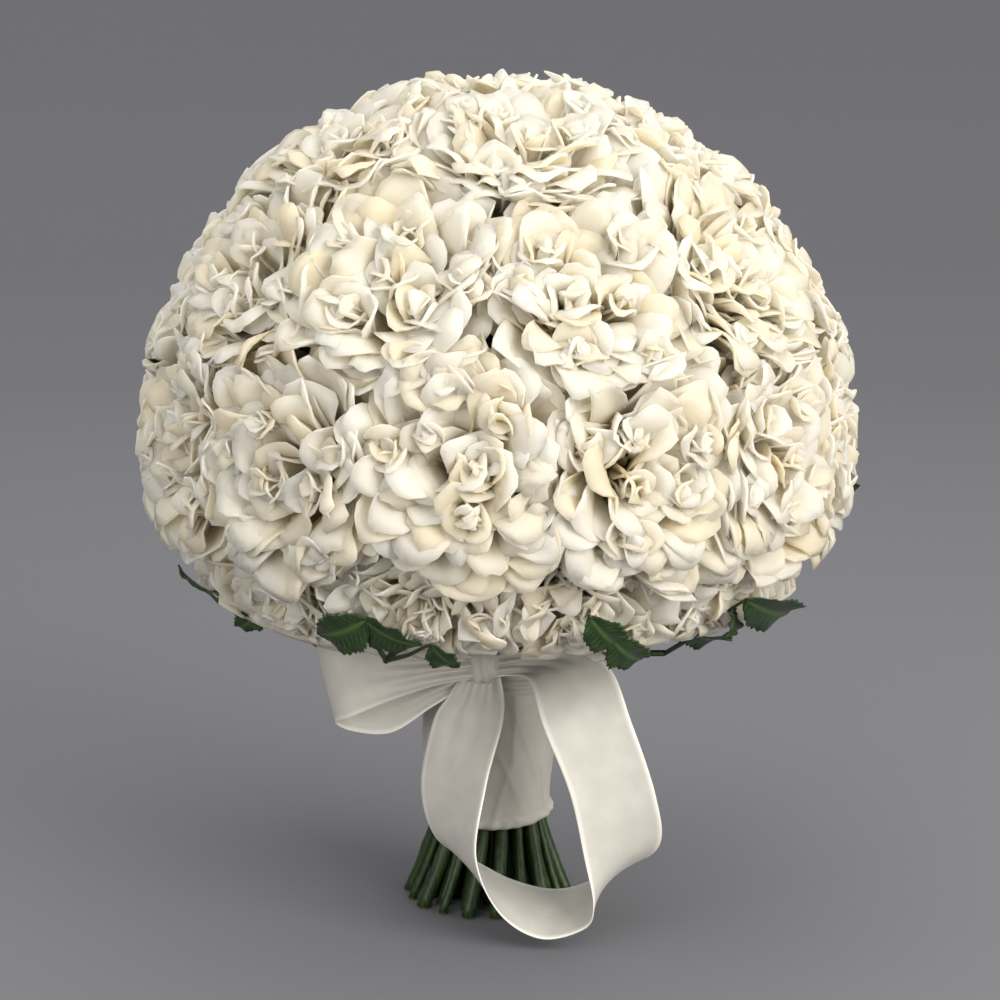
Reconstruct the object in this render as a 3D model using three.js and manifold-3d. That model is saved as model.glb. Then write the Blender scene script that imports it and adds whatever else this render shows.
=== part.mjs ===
// A round hand-tied bunch of carnations, standing on its cut stems.
// Millimetres, +Z up. The face with the ribbon bow looks along -Y.
import * as THREE from 'three';
import { mergeVertices } from 'three/addons/utils/BufferGeometryUtils.js';
import Module from 'manifold-3d';

const wasm = await Module();
wasm.setup();

// Flower dome
const DOME_RADIUS = 161; // half width at the widest level
const DOME_LEVEL = 213; // height of the widest level
const DOME_RISE = 165; // from the widest level to the top
const DOME_DROP = 110; // from the widest level to the underside, if it were closed
const DOME_SHIFT = 4.5; // the dome sits a little to the right of the handle

// One bloom
const BLOOM_HALF_WIDTH = 52;
const BLOOM_SEAT = 24; // depth of the bloom's middle below the dome
const BLOOM_RISE = 28; // from its middle outwards
const BLOOM_DEPTH = 28; // from its middle down to the calyx
const CALYX_LENGTH = 25;
const CALYX_RADIUS = 6.8;

// Handle
const STEM_RADIUS = 2.6;
const STEM_PITCH = 5.5; // from one ring of stems to the next
const OUTER_RING = 4 * STEM_PITCH;
const WAIST_LEVEL = 55;
const WAIST_SPLAY = 0.54; // sideways run per unit of height, below the waist
const CROWN_SPLAY = 0.15; // the same above the waist
const STEM_TWIST = 0.25; // turn of the spiral from waist to floor, radians
const TIE_LEVEL = 90;
const TIE_HEIGHT = 10;
const STEM_GROUPS = 6; // the sheaf is gathered in this many groups, each tied in one
const HEM_LEVEL = 38;
const NECK_LEVEL = 117; // top edge of the wrap
const WRAP_FULLNESS = 3.4; // how far the cloth stands off the stems half way up
const CLOTH = 1.2;
const WRAP_EASE = 0.8; // looseness of the wrap on the stems at both its ends
const BAND_HEIGHT = 16;

// Greenery
const TWIG_RADIUS = 2.2;
const PETIOLE_RADIUS = 1.1;
const LEAF_HALF_WIDTH = 11;
const LEAF_THICKNESS = 1.2;

// Ribbon
const RIBBON_WIDTH = 38;
const RIBBON_THICKNESS = 1;
const KNOT_SIZE = new THREE.Vector3(9, 6, 9);
const LOOP_NECK = 117; // the neck level that the loops' heights are given for

// Clearance left between touching pieces
const GAP = 0.3;

const PETAL = new THREE.MeshStandardMaterial({ color: '#f2ecdb', roughness: 0.85, metalness: 0 });
const STEM = new THREE.MeshStandardMaterial({ color: '#31481f', roughness: 0.6, metalness: 0 });
const LEAF = new THREE.MeshStandardMaterial({ color: '#2b4a1d', roughness: 0.55, metalness: 0 });
const SATIN = new THREE.MeshStandardMaterial({ color: '#ded9cc', roughness: 0.4, metalness: 0 });

const group = new THREE.Group();
group.name = 'carnation_bunch';

function addPiece(name, geometry, material) {
  const mesh = new THREE.Mesh(geometry, material);
  mesh.name = name;
  group.add(mesh);
}

function solidOf(geometry) {
  const bare = geometry.clone();
  bare.deleteAttribute('normal');
  bare.deleteAttribute('uv');
  const welded = mergeVertices(bare, 1e-4);
  return new wasm.Manifold(new wasm.Mesh({
    numProp: 3,
    vertProperties: new Float32Array(welded.attributes.position.array),
    triVerts: new Uint32Array(welded.index.array),
  }));
}

function geometryOf(solid) {
  const mesh = solid.getMesh();
  const geometry = new THREE.BufferGeometry();
  geometry.setAttribute('position', new THREE.BufferAttribute(mesh.vertProperties, 3));
  geometry.setIndex(new THREE.BufferAttribute(mesh.triVerts, 1));
  geometry.computeVertexNormals();
  return geometry;
}

function joined(solids) {
  return solids.reduce((whole, solid) => whole.add(solid));
}

// The main body of a solid, without crumbs that a cut has left loose.
function mainBody(solid) {
  const bodies = solid.decompose();
  return bodies.reduce((best, body) => (body.volume() > best.volume() ? body : best));
}

function fromAngles(azimuth, polar) {
  const a = THREE.MathUtils.degToRad(azimuth);
  const p = THREE.MathUtils.degToRad(polar);
  return new THREE.Vector3(Math.sin(p) * Math.cos(a), Math.sin(p) * Math.sin(a), Math.cos(p));
}

// A rod through its sections: each has a middle, a radius and the way it faces.
// One side of every section is kept along the same level line.
function rodSolid(sections, sides) {
  const spans = sections.length - 1;
  const geometry = new THREE.CylinderGeometry(1, 1, spans, sides, spans);
  const run = sections[spans].at.clone().sub(sections[0].at).normalize();
  const level = new THREE.Vector3(-run.y, run.x, 1e-3).normalize();
  const place = geometry.attributes.position;
  for (let i = 0; i < place.count; i += 1) {
    const section = sections[Math.round(place.getY(i) + spans / 2)];
    const side = level.clone().cross(section.facing).normalize();
    const point = section.facing.clone().cross(side).multiplyScalar(place.getX(i) * section.radius);
    point.addScaledVector(side, place.getZ(i) * section.radius).add(section.at);
    place.setXYZ(i, point.x, point.y, point.z);
  }
  return solidOf(geometry);
}

// Sections of even radius through points, each facing along the way between its neighbours.
function sectionsThrough(points, radius) {
  return points.map((at, i) => {
    const before = points[Math.max(0, i - 1)];
    const after = points[Math.min(points.length - 1, i + 1)];
    return { at, radius, facing: after.clone().sub(before).normalize() };
  });
}

// The dome is a half ellipsoid above its widest level and a flatter one below.
const domeMiddle = new THREE.Vector3(DOME_SHIFT, 0, DOME_LEVEL);

function domeScale(offset) {
  const height = offset.z > 0 ? DOME_RISE : DOME_DROP;
  return Math.hypot(offset.x / DOME_RADIUS, offset.y / DOME_RADIUS, offset.z / height);
}

// A point over the dome's surface: negative lift is inside it.
function onDome(azimuth, polar, lift) {
  const ray = fromAngles(azimuth, polar);
  return ray.clone().multiplyScalar(1 / domeScale(ray) + lift).add(domeMiddle);
}

function outOfDome(point) {
  const offset = point.clone().sub(domeMiddle);
  const height = offset.z > 0 ? DOME_RISE : DOME_DROP;
  const squares = new THREE.Vector3(DOME_RADIUS ** 2, DOME_RADIUS ** 2, height ** 2);
  return offset.divide(squares).normalize();
}

// Blooms in five rows from the top down, each row turned against its neighbours.
const rows = [
  { count: 1, polar: 0, start: 0 },
  { count: 6, polar: 30, start: -84 },
  { count: 11, polar: 59, start: -106 },
  { count: 13, polar: 87.5, start: -96.5 },
  { count: 11, polar: 115, start: -103.6 },
];
const blooms = [];
rows.forEach((row, r) => {
  for (let i = 0; i < row.count; i += 1) {
    const sway = r === 0 ? 0 : 2 * Math.sin(5 * i + 3 * r);
    const azimuth = row.start + (360 * i) / row.count + sway;
    const polar = row.polar + 1.5 * (r > 0) * Math.cos(4 * i + r);
    const axis = fromAngles(azimuth, polar);
    const middle = onDome(azimuth, polar, -BLOOM_SEAT);
    const calyxTop = middle.clone().addScaledVector(axis, -(BLOOM_DEPTH + GAP));
    blooms.push({ row: r, azimuth, axis, middle, calyxTop });
  }
});

// How far a bloom reaches from its middle: its own rounded shape, halved towards
// each neighbour and cut by the dome.
function bloomReach(bloom, ray) {
  const up = ray.dot(bloom.axis);
  const side = Math.sqrt(Math.max(0, 1 - up * up));
  const height = up > 0 ? BLOOM_RISE : BLOOM_DEPTH;
  let reach = ((side / BLOOM_HALF_WIDTH) ** 3 + (Math.abs(up) / height) ** 3) ** (-1 / 3);
  for (const other of blooms) {
    if (other === bloom) continue;
    const across = other.middle.clone().sub(bloom.middle);
    const half = (across.length() - GAP) / 2;
    const toward = ray.dot(across.normalize());
    if (toward > 0) reach = Math.min(reach, half / toward);
  }
  const offset = bloom.middle.clone().sub(domeMiddle);
  while (domeScale(offset.clone().addScaledVector(ray, reach)) > 1) reach -= 0.25;
  return reach;
}

function bloomSolid(bloom) {
  const geometry = new THREE.SphereGeometry(1, 10, 6);
  const turn = new THREE.Quaternion().setFromUnitVectors(new THREE.Vector3(0, 1, 0), bloom.axis);
  const place = geometry.attributes.position;
  for (let i = 0; i < place.count; i += 1) {
    const ray = new THREE.Vector3().fromBufferAttribute(place, i).applyQuaternion(turn).normalize();
    const point = ray.clone().multiplyScalar(bloomReach(bloom, ray)).add(bloom.middle);
    place.setXYZ(i, point.x, point.y, point.z);
  }
  return solidOf(geometry);
}

// Stems stand in rings at the waist, one ring for each row of blooms, and the whole
// sheaf spreads and turns together below it.
function splay(z) {
  const run = (z < WAIST_LEVEL ? WAIST_SPLAY : CROWN_SPLAY) * (z - WAIST_LEVEL);
  return Math.hypot(1, run / (OUTER_RING));
}

function sheafTurn(z) {
  return (STEM_TWIST * (z - WAIST_LEVEL)) / WAIST_LEVEL;
}

function inSheaf(ringRadius, azimuth, z) {
  const turn = THREE.MathUtils.degToRad(azimuth) + sheafTurn(z);
  const radius = ringRadius * splay(z);
  return new THREE.Vector3(radius * Math.cos(turn), radius * Math.sin(turn), z);
}

function sheafRadius(z) {
  return OUTER_RING * splay(z) + STEM_RADIUS;
}

const sheafLevels = [0, 18, HEM_LEVEL, WAIST_LEVEL, TIE_LEVEL, NECK_LEVEL + 4];

// The level sections of one stem or twig, from its cut end up through the neck.
function sheafSections(ringRadius, azimuth, radius) {
  const facing = new THREE.Vector3(0, 0, 1);
  return sheafLevels.map((z) => ({ at: inSheaf(ringRadius, azimuth, z), radius, facing }));
}

// Greenery: a sprig's twig runs out to its fork, over or under the lowest blooms, and
// its leaflets run from one point on the dome to another. Points on the dome are given
// as azimuth, polar angle and lift.
const sprigs = [
  { azimuth: -156, fork: [-156, 138, 6], leaflets: [
    [[-158, 129, 6], [-164, 112, 8]],
    [[-154, 131, 6], [-149, 118, 8]],
    [[-166, 133, 6], [-178, 123, 6]]] },
  { azimuth: -120, over: true, fork: [-120, 122, 2], leaflets: [
    [[-121, 123, 4], [-130, 129, 6]],
    [[-119, 123, 4], [-111, 132, 7]]] },
  { azimuth: -54.5, over: true, fork: [-54.5, 122, 2], leaflets: [
    [[-55, 123, 4], [-50, 134, 8]],
    [[-54, 122, 4], [-43, 127, 6]]] },
  { azimuth: -24, fork: [-24, 138, 6], leaflets: [
    [[-24, 133, 6], [-16, 119, 10]],
    [[-27, 132, 6], [-33, 119, 5]],
    [[-19, 138, 6], [-5, 130, 6]]] },
  { azimuth: 10, fork: [10, 138, 6], climb: [[10, 122, 1], [10, 108, 1]], leaflets: [
    [[9, 108, 3], [1, 95, 6]],
    [[12, 110, 4], [21, 104, 5]]] },
  { azimuth: 76, fork: [76, 138, 6], leaflets: [
    [[74, 131, 6], [66, 116, 7]],
    [[77, 131, 6], [80, 115, 8]],
    [[82, 134, 6], [94, 123, 6]]] },
  { azimuth: 141, fork: [141, 138, 6], leaflets: [
    [[139, 131, 6], [131, 116, 7]],
    [[142, 131, 6], [144, 115, 8]],
    [[147, 134, 6], [159, 123, 6]]] },
];

// A leaflet's outline along +X, toothed like a saw towards its tip.
function leafletShape(length, halfWidth) {
  const teeth = 4;
  const edge = [];
  for (let i = 1; i < teeth; i += 1) {
    const along = i / teeth;
    const wide = halfWidth * Math.sin(Math.PI * along ** 0.8);
    edge.push([(along - 0.01) * length, wide]);
    edge.push([(along + 0.05) * length, wide * 0.82]);
  }
  const shape = new THREE.Shape();
  shape.moveTo(0, 0);
  edge.forEach(([x, y]) => shape.lineTo(x, -y));
  shape.lineTo(length, 0);
  edge.reverse().forEach(([x, y]) => shape.lineTo(x, y));
  return shape;
}

function leafletSolid(foot, tip, grow) {
  const along = tip.clone().sub(foot);
  const length = along.length() + 2 * grow;
  along.normalize();
  const across = outOfDome(foot.clone().lerp(tip, 0.5)).cross(along).normalize();
  const normal = along.clone().cross(across);
  const thickness = LEAF_THICKNESS + 2 * grow;
  const geometry = new THREE.ExtrudeGeometry(leafletShape(length, LEAF_HALF_WIDTH + grow), {
    depth: thickness,
    bevelEnabled: false,
  });
  const start = foot.clone().addScaledVector(normal, -thickness / 2).addScaledVector(along, -grow);
  geometry.applyMatrix4(new THREE.Matrix4().makeBasis(along, across, normal).setPosition(start));
  return solidOf(geometry);
}

function sprigSolid(sprig, grow) {
  const ahead = fromAngles(sprig.azimuth, 90);
  const out = (radius, rise) => ahead.clone().multiplyScalar(radius).setZ(NECK_LEVEL + rise);
  const climb = (sprig.climb ?? []).map((point) => onDome(...point));
  const reach = [out(35, 9), sprig.over ? out(62, 18) : out(52, 3), onDome(...sprig.fork), ...climb];
  const twig = sheafSections(OUTER_RING, sprig.slot, TWIG_RADIUS + grow);
  twig[0].at.z -= grow;
  const solids = [rodSolid([...twig, ...sectionsThrough(reach, TWIG_RADIUS + grow)], 5)];
  sprig.leaflets.forEach(([foot, tip]) => {
    const start = onDome(...foot);
    const end = onDome(...tip);
    const rib = [reach.at(-1), start, start.clone().lerp(end, 0.3)];
    solids.push(leafletSolid(start, end, grow));
    solids.push(rodSolid(sectionsThrough(rib, PETIOLE_RADIUS + grow), 4));
  });
  return joined(solids);
}

// The outer ring is shared by the lowest blooms and the sprigs, in order of azimuth.
const turnOf = (azimuth) => THREE.MathUtils.euclideanModulo(azimuth + 180, 360);
const outerRing = [...blooms.filter((bloom) => bloom.row === rows.length - 1), ...sprigs];
outerRing.sort((a, b) => turnOf(a.azimuth) - turnOf(b.azimuth));
outerRing.forEach((piece, i) => {
  piece.slot = -180 + (360 * (i + 0.5)) / outerRing.length;
});

// A stem rises through the sheaf, bends over to its bloom and swells into the calyx.
function stemSolid(bloom, grow) {
  const up = sheafSections(bloom.row * STEM_PITCH, bloom.slot ?? bloom.azimuth, STEM_RADIUS + grow);
  const inCalyx = (depth, radius) => {
    const at = bloom.calyxTop.clone().addScaledVector(bloom.axis, -depth);
    return { at, radius: radius + grow, facing: bloom.axis };
  };
  const foot = inCalyx(CALYX_LENGTH, STEM_RADIUS);
  const bend = up.at(-1).at.clone().lerp(foot.at, 0.35);
  bend.z += 0.2 * (foot.at.z - NECK_LEVEL);
  const facing = foot.at.clone().sub(up.at(-1).at).normalize();
  const calyx = [foot, inCalyx(CALYX_LENGTH * 0.6, CALYX_RADIUS * 0.9), inCalyx(0, CALYX_RADIUS)];
  return rodSolid([...up, { at: bend, radius: STEM_RADIUS + grow, facing }, ...calyx], 5);
}

// Under the wrap each group of stems is pressed into one body, a sector of the sheaf.
const groupAngle = (2 * Math.PI) / STEM_GROUPS;

function groupOf(bloom) {
  const turn = THREE.MathUtils.degToRad(bloom.slot ?? bloom.azimuth);
  return Math.floor(THREE.MathUtils.euclideanModulo(turn, 2 * Math.PI) / groupAngle);
}

function tieSolid(group) {
  const middle = (group + 0.5) * groupAngle + sheafTurn(TIE_LEVEL);
  const half = groupAngle / 2 - GAP / 2 / OUTER_RING;
  const tip = GAP / 2 / Math.sin(groupAngle / 2);
  const sector = new THREE.Shape();
  sector.moveTo(tip * Math.cos(middle), tip * Math.sin(middle));
  sector.lineTo(OUTER_RING * Math.cos(middle - half), OUTER_RING * Math.sin(middle - half));
  sector.absarc(0, 0, OUTER_RING, middle - half, middle + half);
  const options = { depth: TIE_HEIGHT, bevelEnabled: false, curveSegments: 3 };
  return solidOf(new THREE.ExtrudeGeometry(sector, options).translate(0, 0, TIE_LEVEL - TIE_HEIGHT / 2));
}

// A ribbon is a long flat box laid along its stations: place, turn and tilt of the
// line across it in degrees, and its gathered width.
function ribbonSolid(stations, steps, grow) {
  const edges = [-0.5, 0.5].map((side) => new THREE.CatmullRomCurve3(stations.map((s) => {
    const across = fromAngles(s.turn, 90 - s.tilt);
    const at = new THREE.Vector3(...s.at);
    at.z *= NECK_LEVEL / LOOP_NECK;
    return at.addScaledVector(across, side * s.width);
  })));
  const geometry = new THREE.BoxGeometry(1, 1, 1, 1, 1, steps);
  const place = geometry.attributes.position;
  for (let i = 0; i < place.count; i += 1) {
    const t = place.getZ(i) + 0.5;
    const [from, to] = edges.map((edge) => edge.getPoint(t));
    const across = to.clone().sub(from);
    const width = across.length() + 2 * grow;
    across.normalize();
    const along = edges[0].getTangent(t).add(edges[1].getTangent(t)).normalize();
    const normal = along.cross(across).normalize();
    const point = from.lerp(to, 0.5).addScaledVector(across, place.getX(i) * width);
    point.addScaledVector(normal, place.getY(i) * (RIBBON_THICKNESS + 2 * grow));
    place.setXYZ(i, point.x, point.y, point.z);
  }
  return solidOf(geometry);
}

// Handle wrap: a cloth sleeve, tight at its rolled hem and fuller half way up.
function wrapRadius(z) {
  const rise = (z - HEM_LEVEL) / (NECK_LEVEL - HEM_LEVEL);
  const fullness = WRAP_FULLNESS * Math.max(0, Math.sin(Math.PI * rise)) ** 0.7;
  return sheafRadius(z) + WRAP_EASE + fullness;
}

const wrapLevels = [0, 0.06, 0.2, 0.45, 0.75, 1].map((t) => HEM_LEVEL + t * (NECK_LEVEL - HEM_LEVEL));
const wrapProfile = wrapLevels.map((z) => new THREE.Vector2(wrapRadius(z) + CLOTH, z));
wrapProfile.push(...wrapLevels.toReversed().map((z) => new THREE.Vector2(wrapRadius(z), z)));
wrapProfile.push(wrapProfile[0].clone());
wrapProfile.forEach((point) => {
  if (point.y === HEM_LEVEL && point.x > wrapRadius(HEM_LEVEL)) point.y += CLOTH / 2;
});

// Neck band: ribbon wound round the top of the wrap.
const bandFoot = NECK_LEVEL - BAND_HEIGHT;
const bandInner = Math.max(wrapRadius(bandFoot), wrapRadius(NECK_LEVEL)) + CLOTH + GAP;
const bandRadius = bandInner + CLOTH;
const bandProfile = [[bandInner, bandFoot], [bandRadius, bandFoot], [bandRadius, NECK_LEVEL],
  [bandInner, NECK_LEVEL], [bandInner, bandFoot]];

// Knot at the front of the band, and the two loops that leave it.
const front = -bandRadius;
const knotMiddle = new THREE.Vector3(-2, front - GAP - KNOT_SIZE.y, NECK_LEVEL + 1);

function knotGeometry(grow) {
  const geometry = new THREE.SphereGeometry(1, 10, 8);
  geometry.scale(KNOT_SIZE.x + grow, KNOT_SIZE.y + grow, KNOT_SIZE.z + grow);
  return geometry.translate(...knotMiddle.toArray());
}

const WIDE = RIBBON_WIDTH;
const longLoop = [
  { at: [-3, front - 6, 115], turn: 0, tilt: 0, width: 0.42 * WIDE },
  { at: [-5, front - 7, 104], turn: -8, tilt: 0, width: 0.65 * WIDE },
  { at: [-9, front - 10, 92], turn: -22, tilt: 2, width: 0.88 * WIDE },
  { at: [-15, front - 19, 66], turn: -40, tilt: 6, width: WIDE },
  { at: [-14, front - 27, 41], turn: -62, tilt: 2, width: WIDE },
  { at: [-1, front - 31, 25], turn: -70, tilt: -18, width: WIDE },
  { at: [18, front - 31, 14], turn: -72, tilt: -23, width: WIDE },
  { at: [38, front - 33, 15], turn: -78, tilt: -9, width: WIDE },
  { at: [51, front - 38, 26], turn: -108, tilt: -6, width: WIDE },
  { at: [58, front - 43, 43], turn: -150, tilt: 0, width: WIDE },
  { at: [54, front - 46, 70], turn: -166, tilt: 4, width: WIDE },
  { at: [43, front - 42, 100], turn: -178, tilt: -2, width: WIDE },
  { at: [35, front - 26, 119], turn: -180, tilt: -12, width: 0.9 * WIDE },
  { at: [20, front - 13, 121], turn: -186, tilt: -34, width: 0.62 * WIDE },
  { at: [2, front - 7, 118], turn: -188, tilt: -60, width: 0.36 * WIDE },
];
const shortLoop = [
  { at: [-7, front - 9, 119], turn: 180, tilt: 84, width: 0.36 * WIDE },
  { at: [-24, front - 15, 118], turn: 180, tilt: 82, width: 0.45 * WIDE },
  { at: [-45, front - 23, 116], turn: 180, tilt: 79, width: 0.7 * WIDE },
  { at: [-64, front - 25, 113], turn: 180, tilt: 77, width: 0.96 * WIDE },
  { at: [-73, front - 17, 112], turn: 180, tilt: 77, width: WIDE },
  { at: [-65, front - 9, 108], turn: 180, tilt: 78, width: 0.95 * WIDE },
  { at: [-46, front - 5, 107], turn: 180, tilt: 80, width: 0.8 * WIDE },
  { at: [-26, front - 4, 112], turn: 180, tilt: 83, width: 0.56 * WIDE },
  { at: [-7, front - 4, 116], turn: 180, tilt: 86, width: 0.34 * WIDE },
];

// Put the pieces together, each with its clearance cut where it meets the others.
const sprigSolids = sprigs.map((sprig) => sprigSolid(sprig, 0));
const sprigRoom = joined(sprigs.map((sprig) => sprigSolid(sprig, GAP)));
const loopRoom = ribbonSolid(longLoop, 40, GAP).add(ribbonSolid(shortLoop, 24, GAP));
const bloomRoom = sprigRoom.add(loopRoom);

blooms.forEach((bloom, i) => {
  const solid = mainBody(bloomSolid(bloom).subtract(bloomRoom));
  addPiece(`bloom_${String(i + 1).padStart(2, '0')}`, geometryOf(solid), PETAL);
});
sprigSolids.forEach((solid, i) => {
  addPiece(`leaf_sprig_${i + 1}`, geometryOf(mainBody(solid.subtract(loopRoom))), LEAF);
});
for (let group = 0; group < STEM_GROUPS; group += 1) {
  const own = blooms.filter((bloom) => groupOf(bloom) === group);
  const others = blooms.filter((bloom) => groupOf(bloom) !== group);
  const othersRoom = joined(others.map((bloom) => stemSolid(bloom, GAP)));
  const tied = tieSolid(group).subtract(othersRoom);
  const stems = joined([tied, ...own.map((bloom) => stemSolid(bloom, 0))]);
  addPiece(`stem_group_${group + 1}`, geometryOf(mainBody(stems.subtract(sprigRoom))), STEM);
}
addPiece('handle_wrap', new THREE.LatheGeometry(wrapProfile, 20).rotateX(Math.PI / 2), SATIN);
const band = bandProfile.map(([r, z]) => new THREE.Vector2(r, z));
addPiece('neck_band', new THREE.LatheGeometry(band, 20).rotateX(Math.PI / 2), SATIN);
addPiece('bow_knot', knotGeometry(0), SATIN);
const knotRoom = solidOf(knotGeometry(GAP));
addPiece('bow_loop_long', geometryOf(mainBody(ribbonSolid(longLoop, 40, 0).subtract(knotRoom))), SATIN);
const shortRoom = knotRoom.add(ribbonSolid(longLoop, 40, GAP));
addPiece('bow_loop_short', geometryOf(mainBody(ribbonSolid(shortLoop, 24, 0).subtract(shortRoom))), SATIN);

// The origin is on the floor, under the middle of the whole bunch.
const bounds = new THREE.Box3().setFromObject(group);
const middle = bounds.getCenter(new THREE.Vector3());
group.children.forEach((mesh) => mesh.geometry.translate(-middle.x, -middle.y, 0));

export default group;
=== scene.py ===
"""A round hand-tied bunch of white carnations with a satin bow, standing on its cut stems.

Everything is in metres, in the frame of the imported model: +Z up, the bow towards -Y.
"""
import math

import bmesh
import bpy
import numpy as np
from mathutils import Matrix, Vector


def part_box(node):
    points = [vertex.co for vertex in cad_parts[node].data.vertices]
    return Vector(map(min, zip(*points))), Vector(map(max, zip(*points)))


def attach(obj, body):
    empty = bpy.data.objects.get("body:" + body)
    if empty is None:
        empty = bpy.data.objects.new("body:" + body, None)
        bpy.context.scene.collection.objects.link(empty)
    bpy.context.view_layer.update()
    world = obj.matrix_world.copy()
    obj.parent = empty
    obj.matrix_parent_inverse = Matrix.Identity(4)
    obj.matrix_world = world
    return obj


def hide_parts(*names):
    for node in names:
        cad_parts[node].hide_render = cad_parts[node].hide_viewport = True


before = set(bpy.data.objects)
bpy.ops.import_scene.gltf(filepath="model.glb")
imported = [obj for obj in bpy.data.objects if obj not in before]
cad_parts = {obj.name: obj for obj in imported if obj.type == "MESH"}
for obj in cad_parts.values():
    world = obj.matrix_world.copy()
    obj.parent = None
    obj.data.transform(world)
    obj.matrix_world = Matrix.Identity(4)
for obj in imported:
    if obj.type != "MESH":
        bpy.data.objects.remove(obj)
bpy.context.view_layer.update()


# ---------------------------------------------------------------------------
# Blooms: standard carnations, each a tuft of thin fan-shaped petals that grow from
# one calyx. They are packed so tightly that every bloom is pressed flat against its
# neighbours, petals lap over the seams, and the outsides make one round dome.

sleeve_low, sleeve_high = map(np.array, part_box("handle_wrap"))
handle_x = (sleeve_low[0] + sleeve_high[0]) / 2
bloom_names = sorted(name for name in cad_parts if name.startswith("bloom_"))
dome_radius = 0.161
dome_rise = 0.165
dome_drop = 0.110
dome_shift = 0.0045
dome_top = max(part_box(name)[1][2] for name in bloom_names)
dome_middle = np.array((handle_x + dome_shift, 0.0, dome_top - dome_rise))


def smooth(low, high, x):
    """An even step from 0 at low to 1 at high; low may be the greater."""
    t = np.clip((x - low) / (high - low), 0, 1)
    return t * t * (3 - 2 * t)


def dome_scale(offsets):
    """How far out each offset from the dome's middle is: 1 on the dome."""
    offsets = np.asarray(offsets)
    heights = np.where(offsets[..., 2] > 0, dome_rise, dome_drop)
    sides = np.hypot(offsets[..., 0], offsets[..., 1]) / dome_radius
    return np.hypot(sides, offsets[..., 2] / heights)


def from_angles(azimuth, polar):
    """The direction at an azimuth from +X and a polar angle from straight up, in degrees."""
    a, p = math.radians(azimuth), math.radians(polar)
    return np.array((math.sin(p) * math.cos(a), math.sin(p) * math.sin(a), math.cos(p)))


def on_dome(azimuth, polar, lift):
    """The place on the dome in that direction, or so far outside it."""
    ray = from_angles(azimuth, polar)
    return dome_middle + ray * (1 / float(dome_scale(ray)) + lift)


# Five rows of blooms: how many, how far down from the top, and where the row starts.
bloom_rows = ((1, 0, 0), (6, 30, -84), (11, 59, -106), (13, 87.5, -96.5), (11, 115, -103.6))
bloom_seat = 0.024
blooms = []
for row, (count, polar, start) in enumerate(bloom_rows):
    for i in range(count):
        sway = 2 * math.sin(5 * i + 3 * row) if row else 0
        azimuth = start + 360 * i / count + sway
        axis = from_angles(azimuth, polar + (1.5 * math.cos(4 * i + row) if row else 0))
        middle = dome_middle + axis * (1 / float(dome_scale(axis)) - bloom_seat)
        blooms.append({"row": row, "azimuth": azimuth, "axis": axis, "middle": middle})
bloom_middles = np.array([bloom["middle"] for bloom in blooms])

PETAL_COLUMNS = 8
PETAL_ROWS = 7
petal_thickness = 0.0009
# A bloom with no near neighbour spreads this far; the lowest row spreads less downwards.
free_spread = 0.058
brim_trim = 0.048
seam_height = 0.018
crown_height = 0.0240
crown_radius = 0.220
# Petals that rise past this share of the dome are pressed back to within the slack.
dome_skin = 0.985
dome_slack = 0.035
# Everything under the brim is drawn up towards it by a share.
brim_level = 0.152
brim_rise = 0.30


def bloom_frame(bloom):
    """Columns are the bloom's own x, y and z, with z along its axis."""
    return np.array(Vector(bloom["axis"]).to_track_quat("Z", "Y").to_matrix())


def bloom_spread(index, around):
    """How far the bloom reaches from its axis in each direction, up to its neighbours."""
    bloom = blooms[index]
    turned = bloom_frame(bloom)
    around = np.asarray(around)[..., None]
    ways = np.cos(around) * turned[:, 0] + np.sin(around) * turned[:, 1]
    lowest_row = bloom["row"] == len(bloom_rows) - 1
    spread = free_spread - brim_trim * lowest_row * smooth(0.1, 0.7, -ways[..., 2])
    for other, place in enumerate(bloom_middles):
        across = place - bloom["middle"]
        gap = np.linalg.norm(across)
        if other == index or gap > 0.14:
            continue
        across = across / gap
        toward = np.maximum(ways @ across, 0.02)
        spread = np.minimum(spread, (gap / 2 - seam_height * (across @ bloom["axis"])) / toward)
    return spread


def bloom_crown(reach):
    """Height of the bloom's top over its middle, at a distance from its axis."""
    return crown_height - reach ** 2 / (2 * crown_radius)


# Rings of single petals: share of the bloom's spread, count, half width and depth. The
# deeper ones lie flat and close the gaps between the tufts and under the seams.
bloom_rings = ((0.30, 6, 0.0150, 0.0055), (0.62, 9, 0.0160, 0.0055), (0.92, 12, 0.0160, 0.0060),
               (0.80, 11, 0.0130, 0.0010), (1.00, 15, 0.0130, 0.0), (1.07, 13, 0.0135, 0.003),
               (1.03, 13, 0.0185, 0.009))
TUFTS = 7
tuft_reach = 0.046
GOLDEN_TURN = 2.4
flat_depth = 0.005


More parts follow.
